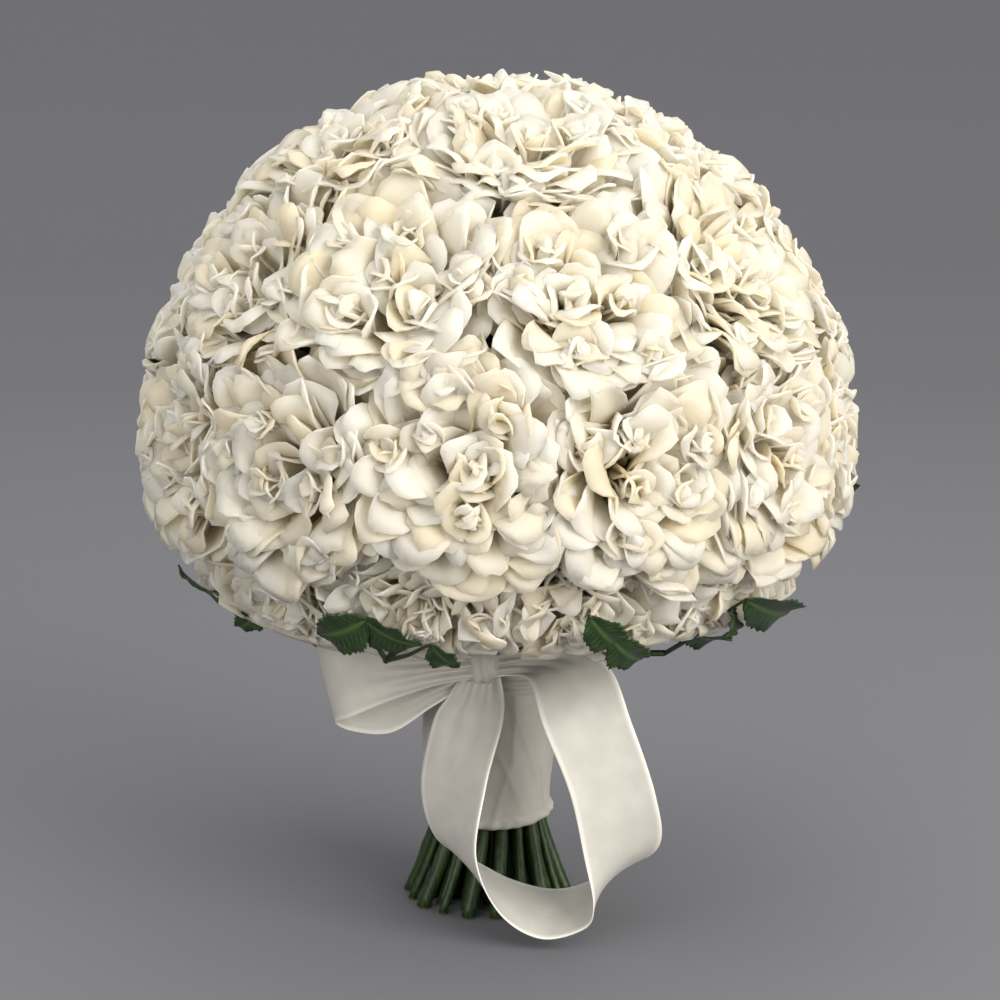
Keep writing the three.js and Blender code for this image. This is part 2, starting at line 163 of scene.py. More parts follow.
def bloom_petals(index, draw):
    """Each petal's azimuth, ring, centre, half width, ruffle, overhang and depth."""
    petals = []
    turn = draw.uniform(0, 2 * math.pi)
    for s in range(TUFTS):
        turn += GOLDEN_TURN + draw.uniform(-0.3, 0.3)
        corner = min(float(bloom_spread(index, turn)), tuft_reach)
        off = corner * (0.86 * math.sqrt((s + 0.3) / TUFTS) + draw.uniform(-0.06, 0.06))
        centre = (off * math.cos(turn), off * math.sin(turn))
        golden = draw.uniform(0, 2 * math.pi)
        size = draw.uniform(0.85, 1.35) * np.clip(corner / 0.030, 0.5, 1.0)
        sunk = draw.uniform(-0.001, 0.0025)
        for k in range(draw.integers(6, 9)):
            ring = size * (0.0022 + 0.0018 * k * draw.uniform(0.8, 1.2))
            golden += GOLDEN_TURN + draw.uniform(-0.5, 0.5)
            width = size * (0.0066 + 0.0009 * k) * draw.uniform(0.8, 1.25)
            petals.append((golden, ring, *centre, width, 0.0017, 0, sunk))
    for share, count, width, sunk in bloom_rings:
        phase = draw.uniform(0, 2 * math.pi)
        for k in range(count):
            around = phase + 2 * math.pi * (k + draw.uniform(-0.4, 0.4)) / count
            corner = float(bloom_spread(index, around + np.array((-0.2, 0, 0.2))).max())
            ring = share * draw.uniform(0.85, 1.12) * corner
            over = draw.uniform(0.0, 0.010) * (share > 0.75)
            wide = width * draw.uniform(0.75, 1.25) * np.clip(corner / 0.028, 0.6, 1.0)
            aside = draw.normal(0, 0.0050, 2)
            petals.append((around + draw.normal(0, 0.3), ring, *aside, wide, 0.0022, over, sunk))
    return np.array(petals)


def shaped_petals(petals, u, v, draw):
    """Points of every petal in the bloom's own frame, its axis along z."""
    count = len(petals)
    around, ring, off_x, off_y, width, ruffle, over, sunk = (column[:, None] for column in petals.T)

    def each(low, high):
        return draw.uniform(low, high, (count, 1))

    outness = np.clip(np.hypot(ring, 0.6 * np.hypot(off_x, off_y)) / 0.044, 0, 1)
    notch = each(0.0, 0.035) * np.cos(each(1.6, 3.0) * math.pi * u + each(0, 6.3))
    t = v * (1 - 0.22 * u ** 2 - 0.06 * u ** 6 + (notch - 0.035) * smooth(0.5, 1.0, v))
    reach = np.hypot(off_x + ring * np.cos(around), off_y + ring * np.sin(around))
    tip_z = bloom_crown(reach) + each(-0.0024, 0.0014) + 0.20 * over - sunk
    lean = np.radians(-66 + 68 * outness ** 0.65) + each(-0.36, 0.36)
    lean = lean * (sunk < flat_depth)
    limb = 0.010 + 0.009 * outness
    knots = (
        (0.0015 + 0.10 * ring, -0.026 + 0 * ring),
        (0.40 * ring, -0.008 + 0 * ring),
        (ring - limb * np.cos(lean), tip_z + limb * np.sin(lean)),
        (ring, tip_z),
    )
    blend = ((1 - t) ** 3, 3 * t * (1 - t) ** 2, 3 * t ** 2 * (1 - t), t ** 3)
    out = sum(b * k[0] for b, k in zip(blend, knots))
    up = sum(b * k[1] for b, k in zip(blend, knots))
    slope = (3 * (1 - t) ** 2, 6 * t * (1 - t), 3 * t ** 2)
    d_out = sum(b * (knots[i + 1][0] - knots[i][0]) for i, b in enumerate(slope))
    d_up = sum(b * (knots[i + 1][1] - knots[i][1]) for i, b in enumerate(slope))
    length = np.hypot(d_out, d_up) + 1e-9
    side = u * width * (0.12 + 0.88 * smooth(0.05, 0.62, t)) * (1 - 0.20 * u ** 2 * smooth(0.7, 1, v))
    cup = np.maximum(ring * each(0.7, 1.5), 0.005)
    lateral = cup * np.sin(side / cup)
    out = out - cup * (1 - np.cos(side / cup)) * (1 - 0.6 * outness)
    waves = each(0.6, 1.4)
    phase = each(0, 6.3)
    fold = np.sin(waves * math.pi * u + phase)
    fold = fold + each(0.0, 0.35) * np.sin(2.2 * waves * math.pi * u + 2 * phase)
    frill = ruffle * each(0.6, 1.5) * smooth(0.30, 1.0, t) * fold
    curl = smooth(0.76, 1.0, t) * each(-0.0044, 0.0022)
    rim = smooth(0.55, 1.0, np.abs(u)) * smooth(0.4, 0.8, t) * each(-0.0022, 0.0010)
    bowl = each(-0.0005, 0.0030) * (u ** 2) * smooth(0.4, 0.9, t) * outness
    lift = frill + curl + bowl + rim
    out = out + lift * (-d_up / length)
    up = up + lift * (d_out / length)
    lateral = lateral + 0.25 * ruffle * t ** 2 * np.cos(waves * math.pi * u + phase)
    up = up + lateral * each(-0.35, 0.35)
    out = out + lateral * each(-0.30, 0.30) * (1 - 0.5 * outness)
    gather = smooth(0.0, 0.75, t)
    x = off_x * gather + out * np.cos(around) - lateral * np.sin(around)
    y = off_y * gather + out * np.sin(around) + lateral * np.cos(around)
    return np.stack((x, y, up), axis=-1), t


def pressed(points, bloom_index, give):
    """A bloom's points pressed back softly from its neighbours and from the dome's outside."""
    own = bloom_middles[bloom_index]
    for other, place in enumerate(bloom_middles):
        across = place - own
        gap = np.linalg.norm(across)
        if other == bloom_index or gap > 0.12:
            continue
        across = across / gap
        past = np.clip((points - own) @ across - gap / 2 + 0.002, 0, None)
        points = points - np.outer(past - give * np.tanh(past / give), across)
    offsets = points - dome_middle
    scale = dome_scale(offsets)
    past = np.clip(scale - dome_skin, 0, None)
    eased = dome_skin + dome_slack * np.tanh(past / dome_slack)
    shrink = np.where(scale > dome_skin, eased / np.maximum(scale, 1e-6), 1.0)
    placed = dome_middle + offsets * shrink[:, None]
    placed[:, 2] -= brim_rise * np.minimum(placed[:, 2] - brim_level, 0)
    return placed


def grids(count, columns, rows):
    """A mesh of square grids, and each grid's points from -1 to 1 across and 0 to 1 along."""
    bm = bmesh.new()
    bm.loops.layers.uv.new("along cloth")
    for _ in range(count):
        bmesh.ops.create_grid(bm, x_segments=columns, y_segments=rows, size=1.0, calc_uvs=True)
    mesh = bpy.data.meshes.new("grids")
    bm.to_mesh(mesh)
    bm.free()
    flat = np.empty(len(mesh.vertices) * 3)
    mesh.vertices.foreach_get("co", flat)
    sheet = flat.reshape(count, -1, 3)
    return mesh, sheet[..., 0], (sheet[..., 1] + 1) / 2


def shape_mesh(mesh, points, **attributes):
    """Moves the mesh's points to their places, smooth, with an attribute of each given name."""
    mesh.vertices.foreach_set("co", np.asarray(points).ravel())
    for name, values in attributes.items():
        mesh.attributes.new(name, "FLOAT", "POINT").data.foreach_set("value", np.ravel(values))
    mesh.polygons.foreach_set("use_smooth", np.ones(len(mesh.polygons), dtype=bool))


def place_piece(name, mesh, material, nodes, thickness=0.0):
    """One finished piece that rides with the bunch and stands for its plain solids."""
    mesh.name = name
    mesh.materials.append(material)
    piece = bpy.data.objects.new(name, mesh)
    bpy.context.collection.objects.link(piece)
    if thickness:
        wall = piece.modifiers.new("thickness", "SOLIDIFY")
        wall.thickness = thickness
        wall.offset = 0
    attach(piece, "root")
    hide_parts(*nodes)
    return piece


def linear(hex_value):
    """An sRGB hex colour as linear RGBA."""
    parts = [int(hex_value[i:i + 2], 16) / 255 for i in (1, 3, 5)]
    return tuple(c / 12.92 if c <= 0.04045 else ((c + 0.055) / 1.055) ** 2.4 for c in parts) + (1.0,)


def new_material(name):
    """An empty material with its output node, and that node."""
    material = bpy.data.materials.new(name)
    material.use_nodes = True
    material.node_tree.nodes.clear()
    return material, material.node_tree.nodes.new("ShaderNodeOutputMaterial")


def add_node(material, kind, links=None, **settings):
    """Adds a node, sets its properties or socket values, and links its inputs."""
    node = material.node_tree.nodes.new(kind)
    for key, value in settings.items():
        if hasattr(node, key):
            setattr(node, key, value)
        else:
            node.inputs[key.replace("_", " ")].default_value = value
    for socket, source in (links or {}).items():
        material.node_tree.links.new(source, node.inputs[socket])
    return node


def set_ramp(node, stops):
    """Gives a colour ramp its stops, each a position and an sRGB hex colour."""
    ramp = node.color_ramp
    while len(ramp.elements) < len(stops):
        ramp.elements.new(0.5)
    for element, (place, colour) in zip(ramp.elements, stops):
        element.position = place
        element.color = linear(colour)


# Fresh petal: a soft, dull, slightly see-through skin that light sinks into, so that the thin edges
# look white. Each petal is painted a warmer, darker cream towards its base: partly its real yellowish
# claw, partly painted shade for the depths between the petals.
petal_material, output = new_material("fresh carnation petal")
depth = add_node(petal_material, "ShaderNodeAttribute", attribute_name="petal_reach")
tone = add_node(petal_material, "ShaderNodeAttribute", attribute_name="petal_tone")
# Painted shade, partly real: the ramp darkens and warms each petal towards its base, for its
# yellowish claw and for the shade deep between the petals.
claw_tint_and_painted_shade = add_node(petal_material, "ShaderNodeValToRGB", {"Fac": depth.outputs["Fac"]})
set_ramp(claw_tint_and_painted_shade, ((0.25, "#F4ECD2"), (0.55, "#FAF6EA"), (0.92, "#FCFAF3")))
cream = add_node(petal_material, "ShaderNodeMix", {0: tone.outputs["Fac"], 6: claw_tint_and_painted_shade.outputs["Color"]},
                 data_type="RGBA", blend_type="MULTIPLY")
cream.inputs[7].default_value = linear("#FDF8EA")
where = add_node(petal_material, "ShaderNodeTexCoord")
crinkle = add_node(petal_material, "ShaderNodeTexNoise", {"Vector": where.outputs["Object"]},
                   Scale=420.0, Detail=3.0, Roughness=0.55)
crease = add_node(petal_material, "ShaderNodeBump", {"Height": crinkle.outputs["Fac"]},
                  Strength=0.10, Distance=0.0006)
petal = add_node(petal_material, "ShaderNodeBsdfPrincipled",
                 {"Base Color": cream.outputs[2], "Normal": crease.outputs["Normal"]},
                 Roughness=0.62, IOR=1.4, Subsurface_Weight=0.3, Subsurface_Scale=0.003,
                 Sheen_Weight=0.10, Sheen_Roughness=0.5)
petal.inputs["Subsurface Radius"].default_value = (1.0, 0.95, 0.82)
through = add_node(petal_material, "ShaderNodeBsdfTranslucent", {"Color": cream.outputs[2]})
thin = add_node(petal_material, "ShaderNodeMixShader",
                {1: petal.outputs["BSDF"], 2: through.outputs["BSDF"]})
thin.inputs[0].default_value = 0.55
petal_material.node_tree.links.new(thin.outputs["Shader"], output.inputs["Surface"])

for index, (name, bloom) in enumerate(zip(bloom_names, blooms)):
    draw = np.random.default_rng(1000 + index)
    petals = bloom_petals(index, draw)
    mesh, u, v = grids(len(petals), PETAL_COLUMNS, PETAL_ROWS)
    local, reach = shaped_petals(petals, u, v, draw)
    points = local.reshape(-1, 3) @ bloom_frame(bloom).T + bloom["middle"]
    overhang = np.repeat(0.002 + petals[:, 6], u.shape[1])
    tones = np.repeat(draw.uniform(0, 1, len(petals)) ** 2, u.shape[1])
    shape_mesh(mesh, pressed(points, index, overhang), petal_reach=reach, petal_tone=tones)
    place_piece(name + "_petals", mesh, petal_material, [name], petal_thickness)


# ---------------------------------------------------------------------------
# Stems: the blooms' own stems, stripped of leaves and laid in a spiral, so that they
# cross at the waist and flare to their cut ends. Each swells into its green calyx.

stem_radius = 0.0026
stem_pitch = 0.0055
outer_ring = 4 * stem_pitch
waist_level = 0.055
neck_level = float(sleeve_high[2])
sheaf_levels = (0.0, 0.018, 0.038, waist_level, 0.090, neck_level + 0.004)
# How steeply the outermost stems lean out, below the waist and above it.
foot_lean = 0.54
neck_lean = 0.15
spiral_turn = 0.25
stem_groups = 6
calyx_length = 0.025
calyx_radius = 0.0068
bloom_depth = 0.0283
TUBE_SIDES = 10

sprig_azimuths = (-156, -120, -54.5, -24, 10, 76, 141)


def splay(z):
    """How much wider the sheaf is at a level than at its waist."""
    run = (foot_lean if z < waist_level else neck_lean) * (z - waist_level)
    return math.hypot(1, run / outer_ring)


def in_sheaf(ring, azimuth, z):
    """A stem's place at a level, by its ring and azimuth at the waist."""
    turn = math.radians(azimuth) + spiral_turn * (z - waist_level) / waist_level
    radius = ring * splay(z)
    return np.array((handle_x + radius * math.cos(turn), radius * math.sin(turn), z))


def flowing(points, steps):
    """A smooth curve through points, with so many even steps between each two."""
    points = np.asarray(points, dtype=float)
    ends = np.vstack((2 * points[:1] - points[1:2], points, 2 * points[-1:] - points[-2:-1]))
    t = np.linspace(0, 1, steps, endpoint=False)[:, None]
    parts = []
    for a, b, c, d in zip(ends, ends[1:], ends[2:], ends[3:]):
        parts.append(0.5 * (2 * b + (c - a) * t + (2 * a - 5 * b + 4 * c - d) * t ** 2
                            + (3 * b - a - 3 * c + d) * t ** 3))
    return np.vstack((*parts, points[-1:]))


def tube_points(route, radii, u, v):
    """Points of a grid wrapped round a route; a radius of 0 closes an end."""
    route, radii = np.asarray(route), np.asarray(radii)
    along = np.gradient(route, axis=0)
    along /= np.linalg.norm(along, axis=1)[:, None]
    side = np.cross(along, (0.6, 0.8, 0.01))
    side /= np.linalg.norm(side, axis=1)[:, None]
    other = np.cross(along, side)
    k = np.rint(v * (len(route) - 1)).astype(int)
    angle = (u * math.pi)[:, None]
    return route[k] + radii[k][:, None] * (np.cos(angle) * side[k] + np.sin(angle) * other[k])


def capped(route, radii):
    """The same route and radii with closed flat ends."""
    route = np.vstack((route[:1], route, route[-1:]))
    along = np.vstack((route[1] - route[2], route[-2] - route[-3]))
    along /= np.linalg.norm(along, axis=1)[:, None]
    route[[0, -1]] += 1e-5 * along
    return route, np.concatenate(([0], radii, [0]))


def weld(mesh):
    """Closes the seams and poles of wrapped grids and turns the faces outwards."""
    bm = bmesh.new()
    bm.from_mesh(mesh)
    bmesh.ops.remove_doubles(bm, verts=bm.verts, dist=1e-6)
    bmesh.ops.recalc_face_normals(bm, faces=bm.faces)
    bm.to_mesh(mesh)
    bm.free()


# The outer ring is shared by the lowest blooms and the sprigs, in order round the handle.
lowest = [(bloom["azimuth"], ("bloom", i)) for i, bloom in enumerate(blooms) if bloom["row"] == 4]
shared = lowest + [(azimuth, ("sprig", i)) for i, azimuth in enumerate(sprig_azimuths)]
shared.sort(key=lambda entry: (entry[0] + 180) % 360)
slots = {who: -180 + 360 * (i + 0.5) / len(shared) for i, (azimuth, who) in enumerate(shared)}


def stem_route(index, draw):
    """The stem's middle line and its radii, from the cut end to the top of the calyx."""
    bloom = blooms[index]
    azimuth = slots.get(("bloom", index), bloom["azimuth"])
    ring = bloom["row"] * stem_pitch
    up = [in_sheaf(ring, azimuth, z) for z in sheaf_levels]
    calyx_top = bloom["middle"] - bloom_depth * bloom["axis"]
    foot = calyx_top - calyx_length * bloom["axis"]
    bend = up[-1] + 0.35 * (foot - up[-1])
    bend[2] = bend[2] + 0.2 * (foot[2] - neck_level)
    lines = flowing([*up, bend, foot], 4)
    swell = np.linspace(0, 1, 6)[1:, None]
    route = np.vstack((lines, foot + swell * (calyx_top - foot)))
    joint = draw.uniform(0.15, 0.30)
    places = np.linspace(0, 1, len(lines))
    radii = stem_radius * (1.0 + 0.16 * np.exp(-(((places - joint) / 0.02) ** 2)))
    radii = radii * (1 + 0.22 * smooth(waist_level, 0.0, lines[:, 2]))
    calyx = calyx_radius * np.array((0.66, 0.88, 0.97, 1.0, 0.95))
    return capped(route, np.concatenate((radii, calyx)))


# Fresh stem: a smooth, waxy green skin, paler along its ribs and at the cut end.
stem_material, output = new_material("fresh carnation stem")
where = add_node(stem_material, "ShaderNodeTexCoord")
stretch = add_node(stem_material, "ShaderNodeMapping", {"Vector": where.outputs["Object"]},
                   Scale=(1.0, 1.0, 0.06))
streaks = add_node(stem_material, "ShaderNodeTexNoise", {"Vector": stretch.outputs["Vector"]},
                   Scale=900.0, Detail=3.0, Roughness=0.6)
skin = add_node(stem_material, "ShaderNodeValToRGB", {"Fac": streaks.outputs["Fac"]})
set_ramp(skin, ((0.30, "#16250B"), (0.52, "#263A14"), (0.75, "#3C5423")))
rise = add_node(stem_material, "ShaderNodeSeparateXYZ", {"Vector": where.outputs["Object"]})
cut = add_node(stem_material, "ShaderNodeMapRange", {"Value": rise.outputs["Z"]},
               **{"From Min": 0.0001, "From Max": 0.0012, "To Min": 1.0, "To Max": 0.0})
ends = add_node(stem_material, "ShaderNodeMix", {0: cut.outputs["Result"], 6: skin.outputs["Color"]},
                data_type="RGBA")
ends.inputs[7].default_value = linear("#6C8450")
ribs = add_node(stem_material, "ShaderNodeBump", {"Height": streaks.outputs["Fac"]},
                Strength=0.25, Distance=0.0003)
stem_skin = add_node(stem_material, "ShaderNodeBsdfPrincipled",
                     {"Base Color": ends.outputs[2], "Normal": ribs.outputs["Normal"]},
                     Roughness=0.48, IOR=1.45, Coat_Weight=0.1, Coat_Roughness=0.4)
stem_material.node_tree.links.new(stem_skin.outputs["BSDF"], output.inputs["Surface"])

for group in range(stem_groups):
    draw = np.random.default_rng(2000 + group)
    routes = []
    for index, bloom in enumerate(blooms):
        turn = math.radians(slots.get(("bloom", index), bloom["azimuth"])) % (2 * math.pi)
        if int(turn / (2 * math.pi / stem_groups)) == group:
            routes.append(stem_route(index, draw))
    mesh, u, v = grids(len(routes), TUBE_SIDES, len(routes[0][0]) - 1)
    points = np.array([tube_points(*route, u[i], v[i]) for i, route in enumerate(routes)])
    points[..., 2] = np.maximum(points[..., 2], 0.0)
    shape_mesh(mesh, points)
    weld(mesh)
    name = f"stem_group_{group + 1}"
    place_piece(name + "_stems", mesh, stem_material, [name])


# ---------------------------------------------------------------------------
# Leaf sprigs: twigs of dark foliage tied in with the stems. Their saw-edged leaves are
# held under the lowest blooms, so that only the tips show past the petals.

twig_radius = 0.0018
petiole_radius = 0.0009
leaf_thickness = 0.0004
LEAF_COLUMNS = 10
LEAF_ROWS = 60
LEAF_TEETH = 12

# Each sprig's fork on the dome, and for each leaflet its foot, its tip and its half
# width. A place on the dome is an azimuth, a polar angle and a lift off the dome. A
# sprig marked "over" bends up in front of the lowest petals.
sprigs = (
    {"over": False, "fork": (-156, 138, -0.004), "leaflets": (
        ((-151, 117, -0.010), (-167, 110.5, 0.007), 0.0085),
        ((-150, 119, -0.009), (-159, 122.5, 0.006), 0.0065),
        ((-166, 130, -0.008), (-178, 123, 0.006), 0.0090))},
    {"over": True, "fork": (-112, 122, 0.003), "leaflets": (
        ((-110, 109.5, 0.006), (-121, 114.5, 0.009), 0.0105),
        ((-111, 109.5, 0.006), (-102.5, 115, 0.009), 0.0105),
        ((-101, 115, 0.005), (-97, 120.5, 0.008), 0.0075))},
    {"over": True, "fork": (-66, 122, 0.003), "leaflets": (
        ((-76, 109, 0.004), (-68, 117, 0.008), 0.0085),
        ((-71, 114, 0.006), (-62.5, 121, 0.009), 0.0090))},
    {"over": False, "fork": (-24, 138, -0.004), "leaflets": (
        ((-43, 111, 0.000), (-21, 116.5, 0.012), 0.0115),
        ((-40, 115, -0.004), (-42, 119, 0.006), 0.0080),
        ((-20, 132, -0.008), (-5, 130, 0.006), 0.0100))},
    {"over": False, "fork": (10, 138, -0.004), "climb": ((10, 120, -0.020), (10, 104, -0.022)),
     "leaflets": (
         ((6, 101, -0.016), (0.5, 97.5, 0.0085), 0.0075),
         ((12, 104, -0.016), (19, 101, 0.005), 0.0080))},
    {"over": False, "fork": (76, 138, -0.004), "leaflets": (
        ((73, 126, -0.009), (67, 115, 0.007), 0.0090),
        ((78, 126, -0.009), (81, 116, 0.008), 0.0085),
        ((82, 131, -0.008), (94, 124, 0.006), 0.0095))},
    {"over": False, "fork": (141, 138, -0.004), "leaflets": (
        ((138, 126, -0.009), (132, 115, 0.007), 0.0090),
        ((142, 126, -0.009), (145, 116, 0.008), 0.0085),
        ((147, 131, -0.008), (159, 124, 0.006), 0.0095))},
)


def out_of_dome(point):
    """The dome's outward direction at a point."""
    offset = point - dome_middle
    height = dome_rise if offset[2] > 0 else dome_drop
    outward = offset / np.array((dome_radius, dome_radius, height)) ** 2
    return outward / np.linalg.norm(outward)


def leaf_points(foot, tip, half_width, u, s, draw):
    """Points of one leaf blade: u runs across it and s from its foot to its tip."""
    along = tip - foot
    length = np.linalg.norm(along)
    along = along / length
    across = np.cross(out_of_dome((foot + tip) / 2), along)
    across /= np.linalg.norm(across)
    normal = np.cross(along, across)
    tooth = (s * LEAF_TEETH) % 1
    saw = 1 + 0.15 * (tooth - 0.5) * smooth(0.02, 0.10, s) * smooth(1.0, 0.9, s)
    wide = half_width * np.sin(np.pi * np.clip(s, 0, 1) ** 0.78) ** 0.85 * saw
    side = u * wide
    arch = 0.06 * length * np.sin(np.pi * s) - 0.10 * length * s ** 3
    valley = 0.22 * np.abs(side) - 0.0010 * np.cos(6.3 * s * 2.5 + draw.uniform(0, 6)) * u ** 2
    ahead = (s + 0.10 * np.abs(u) * (half_width / length) * (1 - s)) * length
    twist = draw.uniform(-0.25, 0.25) * side
    lift = arch + valley + twist
    return foot + ahead[:, None] * along + side[:, None] * across + lift[:, None] * normal


# Leaf: a leathery dark green blade with sunken paler veins and a dull waxy gloss.
leaf_material, output = new_material("leathery green leaf")
vein = add_node(leaf_material, "ShaderNodeAttribute", attribute_name="leaf_vein")
where = add_node(leaf_material, "ShaderNodeTexCoord")
mottle = add_node(leaf_material, "ShaderNodeTexNoise", {"Vector": where.outputs["Object"]},
                  Scale=160.0, Detail=4.0, Roughness=0.6)
blade = add_node(leaf_material, "ShaderNodeValToRGB", {"Fac": mottle.outputs["Fac"]})
set_ramp(blade, ((0.30, "#101F08"), (0.55, "#1F3711"), (0.80, "#314F1C")))
veined = add_node(leaf_material, "ShaderNodeMix", {0: vein.outputs["Fac"], 6: blade.outputs["Color"]},
                  data_type="RGBA")
veined.inputs[7].default_value = linear("#456530")
relief = add_node(leaf_material, "ShaderNodeMath", {0: vein.outputs["Fac"], 1: mottle.outputs["Fac"]},
                  operation="ADD")
sunken = add_node(leaf_material, "ShaderNodeBump", {"Height": relief.outputs[0]},
                  Strength=0.5, Distance=0.0006, invert=True)
leaf_skin = add_node(leaf_material, "ShaderNodeBsdfPrincipled",
                     {"Base Color": veined.outputs[2], "Normal": sunken.outputs["Normal"]},
                     Roughness=0.42, IOR=1.45, Coat_Weight=0.15, Coat_Roughness=0.35)
leaf_material.node_tree.links.new(leaf_skin.outputs["BSDF"], output.inputs["Surface"])

for i, (azimuth, sprig) in enumerate(zip(sprig_azimuths, sprigs)):
    draw = np.random.default_rng(3000 + i)
    ahead = from_angles(azimuth, 90)
    sheaf = [in_sheaf(outer_ring, slots[("sprig", i)], z) for z in sheaf_levels]
    bends = ((0.035, 0.009), (0.062, 0.018) if sprig["over"] else (0.052, 0.003))
    bends = [ahead * out + (handle_x, 0, neck_level + rise) for out, rise in bends]
    fork = on_dome(*sprig["fork"])
    climb = [on_dome(*place) for place in sprig.get("climb", ())]
    twig = flowing([*sheaf, *bends, fork, *climb], 4)
    tapering = twig_radius * np.linspace(1.1, 0.8, len(twig))
    tubes = [(twig, tapering)]
    blades, veins = [], []
    mesh, u, v = grids(len(sprig["leaflets"]), LEAF_COLUMNS, LEAF_ROWS)
    for k, (foot, tip, half_width) in enumerate(sprig["leaflets"]):
        foot, tip = on_dome(*foot), on_dome(*tip)
        points = leaf_points(foot, tip, half_width, u[k], v[k], draw)
        blades.append(points)
        rib = np.abs((v[k] * LEAF_TEETH - 1.4 * np.abs(u[k])) % 1 - 0.5) * 2
        midrib = smooth(0.22, 0.0, np.abs(u[k]))
        veins.append(np.maximum(midrib, 0.7 * smooth(0.75, 1.0, rib)))
        first = foot + 0.25 * (tip - foot)
        stalk = flowing([twig[-1], (twig[-1] + foot) / 2 + (0, 0, -0.001), foot, first], 3)
        tubes.append((stalk, petiole_radius * np.linspace(1.2, 0.5, len(stalk))))
    shape_mesh(mesh, blades, leaf_vein=veins)
    name = f"leaf_sprig_{i + 1}"
    place_piece(name + "_leaves", mesh, leaf_material, [name], leaf_thickness)
    for k, tube in enumerate(tubes):
        route, radii = capped(*tube)
        mesh, u, v = grids(1, 8, len(route) - 1)
        shape_mesh(mesh, tube_points(route, radii, u[0], v[0]))
        weld(mesh)
        part = "twig" if k == 0 else f"leaf_stalk_{k}"
        place_piece(f"{name}_{part}", mesh, stem_material, [name])


# ---------------------------------------------------------------------------
# Handle wrap: a sleeve of satin rolled round the tied stems, creased where it is pulled
# tight, with its raw edge turned under into a round rolled hem.

hem_level = float(sleeve_low[2])
middle_radius = 0.030
wrap_fullness = 0.0034
wrap_ease = 0.0008
cloth = 0.0009
ribbon_width = 0.038


def wrap_radius(z):
    """The sleeve's inner radius, full in the middle and snug at both ends."""
    rise = (z - hem_level) / (neck_level - hem_level)
    fullness = wrap_fullness * np.maximum(0, np.sin(np.pi * np.clip(rise, 0, 1))) ** 0.7
    run = np.where(z < waist_level, foot_lean, neck_lean) * (z - waist_level)
    return outer_ring * np.hypot(1, run / outer_ring) + stem_radius + wrap_ease + fullness


# Creases: azimuth where each starts, its level in mm, slant in degrees per mm, length up
# and down from its middle, height and half width in mm.
wrap_creases = (
    (-66, 92, 0.08, 26, 1.5, 1.3),
    (-52, 74, -0.75, 22, 1.2, 1.2),
    (-80, 52, 0.55, 14, 1.3, 1.3),
    (-38, 60, -0.5, 20, 1.1, 1.4),
    (-96, 84, 0.4, 24, 1.3, 1.5),
    (-74, 66, -0.9, 16, 0.8, 1.1),
    (-20, 90, 0.6, 22, 1.2, 1.4),
    (5, 66, -0.5, 24, 1.3, 1.5),
    (34, 84, 0.5, 26, 1.2, 1.5),
    (62, 62, -0.6, 24, 1.3, 1.4),
    (90, 90, 0.3, 24, 1.3, 1.6),
    (118, 64, 0.6, 22, 1.2, 1.5),
    (146, 86, -0.5, 26, 1.3, 1.5),
    (172, 60, 0.5, 22, 1.2, 1.4),
    (-160, 88, -0.4, 24, 1.2, 1.5),
    (-132, 64, 0.5, 24, 1.3, 1.5),
    (-112, 94, -0.6, 20, 1.1, 1.3),
)


def crease_height(azimuth, z):
    """How far the creases lift the cloth off the stems, in metres."""
    lift = np.zeros(np.broadcast(azimuth, z).shape)
    for start, level, slant, reach, height, half_width in wrap_creases:
        rise = 1000 * z - level
        off = (azimuth - start - slant * rise + 180) % 360 - 180
        off = np.radians(off) * 1000 * middle_radius / (1.5 * half_width)
        fade = np.exp(-np.abs(rise / reach) ** 3)
        ridge = np.exp(-np.abs(off) ** 1.3) - 0.35 * np.exp(-(off / 3) ** 2)
        lift = lift + 0.0010 * height * fade * ridge
    return lift


# Satin: closely woven shiny thread. It gives a soft broad gloss, with a fine weave that is
# drawn at twice the real thread spacing, since that is the least that shows.
# A Wave texture's bands lie 0.314 / scale apart.
thread_spacing = 0.0005
weave_scale = 0.314 / thread_spacing
satin_material, output = new_material("woven polyester satin")
cloth_uv = add_node(satin_material, "ShaderNodeUVMap", uv_map="along cloth")
warp = add_node(satin_material, "ShaderNodeTexWave", {"Vector": cloth_uv.outputs["UV"]},
                wave_type="BANDS", bands_direction="X", Scale=weave_scale,
                Distortion=0.6, Detail=1.0)
weft = add_node(satin_material, "ShaderNodeTexWave", {"Vector": cloth_uv.outputs["UV"]},
                wave_type="BANDS", bands_direction="Y", Scale=weave_scale,
                Distortion=0.6, Detail=1.0)
weave = add_node(satin_material, "ShaderNodeMath", {0: warp.outputs["Fac"], 1: weft.outputs["Fac"]},
                 operation="ADD")
where = add_node(satin_material, "ShaderNodeTexCoord")
slub = add_node(satin_material, "ShaderNodeTexNoise", {"Vector": where.outputs["Object"]},
                Scale=90.0, Detail=3.0, Roughness=0.5)
shade = add_node(satin_material, "ShaderNodeValToRGB", {"Fac": slub.outputs["Fac"]})
set_ramp(shade, ((0.30, "#B8B5AC"), (0.70, "#C3C0B7")))
edge = add_node(satin_material, "ShaderNodeAttribute", attribute_name="selvage")
bound = add_node(satin_material, "ShaderNodeMix", {0: edge.outputs["Fac"], 6: shade.outputs["Color"]},
                 data_type="RGBA")
bound.inputs[7].default_value = linear("#EEEAE0")
threads = add_node(satin_material, "ShaderNodeBump", {"Height": weave.outputs[0]},
                   Strength=0.10, Distance=0.0002)
satin_skin = add_node(satin_material, "ShaderNodeBsdfPrincipled",
                      {"Base Color": bound.outputs[2], "Normal": threads.outputs["Normal"]},
                      Roughness=0.48, IOR=1.45, Sheen_Weight=0.2, Sheen_Roughness=0.4)
satin_material.node_tree.links.new(satin_skin.outputs["BSDF"], output.inputs["Surface"])


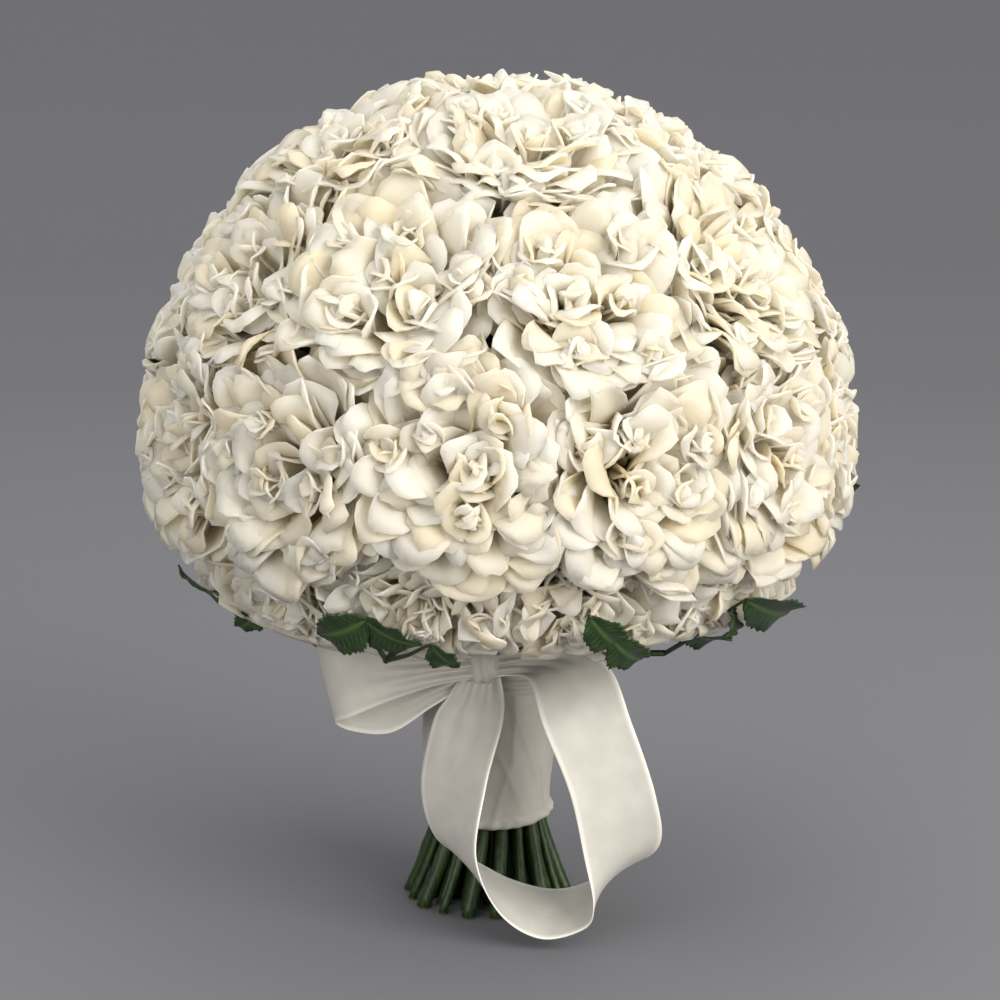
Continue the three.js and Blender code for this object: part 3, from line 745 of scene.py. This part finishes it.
def stretch_uv(mesh, across, along):
    """Turns the square UV map into metres of cloth."""
    layer = mesh.uv_layers["along cloth"]
    flat = np.empty(len(layer.data) * 2)
    layer.data.foreach_get("uv", flat)
    layer.data.foreach_set("uv", (flat.reshape(-1, 2) * (across, along)).ravel())


def no_selvage(u):
    """The selvage attribute of cloth whose woven edge is hidden."""
    return np.zeros(u.shape)


WRAP_COLUMNS = 220
hem_bead = 0.0017
levels = np.linspace(hem_level + 0.0060, neck_level, 48)
outer_wall = [(wrap_radius(z) + cloth, z, 1.0) for z in levels]
bead_middle = (float(wrap_radius(hem_level)) + 0.0012, hem_level + 0.0038)
bead = [(bead_middle[0] + hem_bead * math.cos(a), bead_middle[1] + hem_bead * math.sin(a), 0.3)
        for a in np.linspace(0.30 * math.pi, -1.0 * math.pi, 12)]
inner_wall = [(wrap_radius(z), z, 1.0) for z in levels]
profile = np.array([*outer_wall[::-1], *bead, *inner_wall, outer_wall[-1]])
mesh, u, v = grids(1, WRAP_COLUMNS, len(profile) - 1)
k = np.rint(v[0] * (len(profile) - 1)).astype(int)
azimuth = 180 * u[0]
turn = np.radians(azimuth)
radius, z, creased = profile[k].T
radius = radius + creased * (crease_height(azimuth, z) + 0.0004)
hem_gathers = np.sin(turn * 23 + 2 * np.sin(turn * 5))
radius = radius + (1 - creased) * 0.0006 * hem_gathers
drop = 0.0012 * np.sin(turn * 2 + 1.0) * smooth(hem_level + 0.02, hem_level, z)
points = np.stack((handle_x + radius * np.cos(turn), radius * np.sin(turn), z + drop), axis=-1)
shape_mesh(mesh, points, selvage=no_selvage(u))
stretch_uv(mesh, 2 * math.pi * middle_radius, 2 * (neck_level - hem_level))
weld(mesh)
wrap = place_piece("satin_wrap", mesh, satin_material, ["handle_wrap"])


# ---------------------------------------------------------------------------
# Neck band: one turn of satin, folded to about half the ribbon's width and drawn tight
# into level pleats round the top of the wrap, where it holds the bow.

band_low, band_high = map(np.array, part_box("neck_band"))
band_radius = float(band_high[0] - band_low[0]) / 2
band_height = float(band_high[2] - band_low[2])
BAND_ROWS = 36


def closed_ring(inner, outer, low, high, rows):
    """A closed wall profile: the outside from the top down, then the inside up again."""
    z = np.linspace(high, low, rows)
    outside = np.stack((np.full(rows, outer), z), axis=-1)
    inside = np.stack((np.full(rows, inner), z[::-1]), axis=-1)
    return np.vstack((outside, inside, outside[:1]))


profile = closed_ring(band_radius - cloth, band_radius, band_low[2], band_high[2], BAND_ROWS)
mesh, u, v = grids(1, 160, len(profile) - 1)
k = np.rint(v[0] * (len(profile) - 1)).astype(int)
turn = math.pi * u[0]
radius, z = profile[k].T
rise = (z - band_low[2]) / band_height
pleats = np.sin(2 * math.pi * (3.6 * rise + 0.35 * np.sin(2 * turn + 0.5) + 0.15 * np.sin(5 * turn)))
radius = radius + 0.0007 * pleats * np.sin(math.pi * rise) ** 0.5 - 0.0004
z = z + 0.0007 * np.sin(3 * turn + 1) * np.sin(math.pi * rise)
points = np.stack((handle_x + radius * np.cos(turn), radius * np.sin(turn), z), axis=-1)
shape_mesh(mesh, points, selvage=no_selvage(u))
stretch_uv(mesh, 2 * math.pi * band_radius, 2 * band_height)
weld(mesh)
band = place_piece("gathered_neck_band", mesh, satin_material, ["neck_band"])


# ---------------------------------------------------------------------------
# Knot: the ribbon turned once over the middle of the bow and pulled down hard, so that
# it bulges and its pleats run over it from top to bottom.

knot_low, knot_high = map(np.array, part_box("bow_knot"))
knot_middle = (knot_low + knot_high) / 2
knot_size = (knot_high - knot_low) / 2
bm = bmesh.new()
bm.loops.layers.uv.new("along cloth")
bmesh.ops.create_uvsphere(bm, u_segments=64, v_segments=40, radius=1.0, calc_uvs=True)
mesh = bpy.data.meshes.new("bow_knot")
bm.to_mesh(mesh)
bm.free()
flat = np.empty(len(mesh.vertices) * 3)
mesh.vertices.foreach_get("co", flat)
ball = flat.reshape(-1, 3)
pleats = np.sin(11 * ball[:, 0] + 1.6 * np.sin(1.8 * ball[:, 2] + 0.8))
pinch = 1 - 0.16 * np.exp(-(ball[:, 2] / 0.35) ** 2)
ball = ball * (1 + 0.075 * pleats * (1 - ball[:, 0] ** 2))[:, None]
ball[:, 0] = ball[:, 0] * pinch
shape_mesh(mesh, knot_middle + ball * knot_size * 0.98, selvage=np.zeros(len(ball)))
stretch_uv(mesh, 0.06, 0.03)
place_piece("satin_knot", mesh, satin_material, ["bow_knot"])


# ---------------------------------------------------------------------------
# Bow loops: one long loop that falls to the floor in front of the stems and sweeps back
# up, and one short loop on the left. Both are gathered into pleats at the knot.

loop_thickness = 0.0005
LOOP_COLUMNS = 28
front = -band_radius
# Each station gives the middle of the ribbon in mm from the front of the band, the turn
# and tilt in degrees of the line across it, and the share of its width that it lies to.
long_loop = (
    ((-3, -6, 115), 0, 0, 0.42),
    ((-5, -7, 104), -8, 0, 0.65),
    ((-9, -10, 92), -22, 2, 0.88),
    ((-15, -19, 66), -40, 6, 1),
    ((-14, -27, 41), -62, 2, 1),
    ((-1, -31, 25), -70, -18, 1),
    ((18, -31, 14), -72, -23, 1),
    ((38, -33, 15), -78, -9, 1),
    ((51, -38, 26), -108, -6, 1),
    ((58, -43, 43), -150, 0, 1),
    ((54, -46, 70), -166, 4, 1),
    ((43, -42, 100), -178, -2, 1),
    ((35, -26, 119), -180, -12, 0.9),
    ((20, -13, 121), -186, -34, 0.62),
    ((2, -7, 118), -188, -60, 0.36),
)
short_loop = (
    ((-7, -9, 119), 180, 84, 0.36),
    ((-24, -15, 119), 180, 82, 0.45),
    ((-45, -23, 119), 180, 80, 0.72),
    ((-63, -25, 117), 180, 78, 0.96),
    ((-71, -18, 113), 180, 76, 1),
    ((-64, -10, 106), 180, 74, 0.96),
    ((-46, -6, 103), 180, 78, 0.84),
    ((-26, -4, 109), 180, 83, 0.56),
    ((-7, -4, 116), 180, 86, 0.34),
)


def loop_piece(name, stations, node, steps, draw):
    """A ribbon laid along its stations; where it lies narrow its spare width is pleated."""
    middles = np.array([at for at, *_ in stations]) / 1000 + (handle_x, front, 0)
    across = np.array([from_angles(turn, 90 - tilt) for _, turn, tilt, _ in stations])
    widths = ribbon_width * np.array([station[3] for station in stations])[:, None]
    left = flowing(middles - across * widths / 2, steps)
    right = flowing(middles + across * widths / 2, steps)
    rows = len(left) - 1
    mesh, u, v = grids(1, LOOP_COLUMNS, rows)
    k = np.rint(v[0] * rows).astype(int)
    share = ((u[0] + 1) / 2)[:, None]
    along = np.gradient((left + right) / 2, axis=0)
    along /= np.linalg.norm(along, axis=1)[:, None]
    side = right - left
    lies = np.linalg.norm(side, axis=1)
    normal = np.cross(along, side / lies[:, None])
    normal /= np.linalg.norm(normal, axis=1)[:, None]
    spare = np.clip(1 - lies / ribbon_width, 0, 1)
    pleat = 0.0030 * spare ** 1.2
    phase = draw.uniform(0, 6)
    pleats = pleat[k] * np.sin(2 * math.pi * 1.6 * u[0] + phase) * (1 - 0.3 * u[0] ** 2)
    bow = 0.0006 * (u[0] ** 2 - 0.5) * (1 - spare[k])
    strides = np.linalg.norm(np.diff((left + right) / 2, axis=0), axis=1)
    travel = np.concatenate(([0], np.cumsum(strides)))
    ripple = 0.0005 * np.sin(travel[k] * 95 + 1.2 * u[0] + phase) * u[0] ** 2
    lift = (pleats + bow + ripple)[:, None] * normal[k]
    points = left[k] * (1 - share) + right[k] * share + lift
    selvage = smooth(0.90, 0.97, np.abs(u[0]))
    shape_mesh(mesh, points, selvage=selvage)
    stretch_uv(mesh, ribbon_width, float(travel[-1]))
    piece = place_piece(name, mesh, satin_material, [node], loop_thickness)


draw = np.random.default_rng(4000)
loop_piece("satin_loop_long", long_loop, "bow_loop_long", 14, draw)
loop_piece("satin_loop_short", short_loop, "bow_loop_short", 12, draw)


# ---------------------------------------------------------------------------
# The studio: a plain grey floor that curves up far away, under an even pale light, with
# one broad soft light on the right and a weaker one on the left.

bm = bmesh.new()
cove_line = ((0.001, 0), (2.5, 0), (3.6, 0.15), (4.4, 0.6), (4.9, 1.4), (5.1, 3.2))
cove = [bm.verts.new((x, 0, z)) for x, z in cove_line]
edge = [bm.edges.new(pair) for pair in zip(cove, cove[1:])]
bmesh.ops.spin(bm, geom=cove + edge, cent=(0, 0, 0), axis=(0, 0, 1), angle=2 * math.pi,
               steps=96, use_merge=True)
bmesh.ops.recalc_face_normals(bm, faces=bm.faces)
mesh = bpy.data.meshes.new("studio_floor")
bm.to_mesh(mesh)
bm.free()
mesh.polygons.foreach_set("use_smooth", np.ones(len(mesh.polygons), dtype=bool))
studio_floor = bpy.data.objects.new("studio_floor", mesh)
bpy.context.collection.objects.link(studio_floor)
paper, output = new_material("matt studio paper")
paper_skin = add_node(paper, "ShaderNodeBsdfPrincipled", Base_Color=linear("#6E6E72"), Roughness=0.9)
paper.node_tree.links.new(paper_skin.outputs["BSDF"], output.inputs["Surface"])
mesh.materials.append(paper)

world = bpy.data.worlds.new("studio air")
bpy.context.scene.world = world
world.use_nodes = True
world.node_tree.nodes["Background"].inputs["Color"].default_value = linear("#E6E6E6")
world.node_tree.nodes["Background"].inputs["Strength"].default_value = 1.75


def add_softbox(name, place, target, size, power, tint):
    """A square panel of light turned towards its target."""
    light = bpy.data.lights.new(name, "AREA")
    light.shape = "SQUARE"
    light.size = size
    light.energy = power
    light.color = linear(tint)[:3]
    lamp = bpy.data.objects.new(name, light)
    lamp.location = place
    lamp.rotation_euler = (Vector(target) - Vector(place)).to_track_quat("-Z", "Y").to_euler()
    bpy.context.collection.objects.link(lamp)


bunch_middle = (0, 0, 0.2)
add_softbox("key_light", (1.2, -1.25, 0.8), bunch_middle, 1.3, 39, "#FFFBF5")
add_softbox("fill_light", (-1.0, -1.6, 0.5), bunch_middle, 1.2, 16, "#FBFAF8")

view_transform = bpy.context.scene.view_settings
view_transform.view_transform = "Standard"
view_transform.look = "None"
view_transform.exposure = 0.0

camera_dip = 8.6
camera_data = bpy.data.cameras.new("camera")
camera_data.sensor_width = 36.0
camera_data.lens = 75.67
camera = bpy.data.objects.new("camera", camera_data)
camera.location = (handle_x + 0.0055, -0.950, 0.330)
camera.rotation_euler = (math.radians(90 - camera_dip), 0, 0)
bpy.context.collection.objects.link(camera)
bpy.context.scene.camera = camera
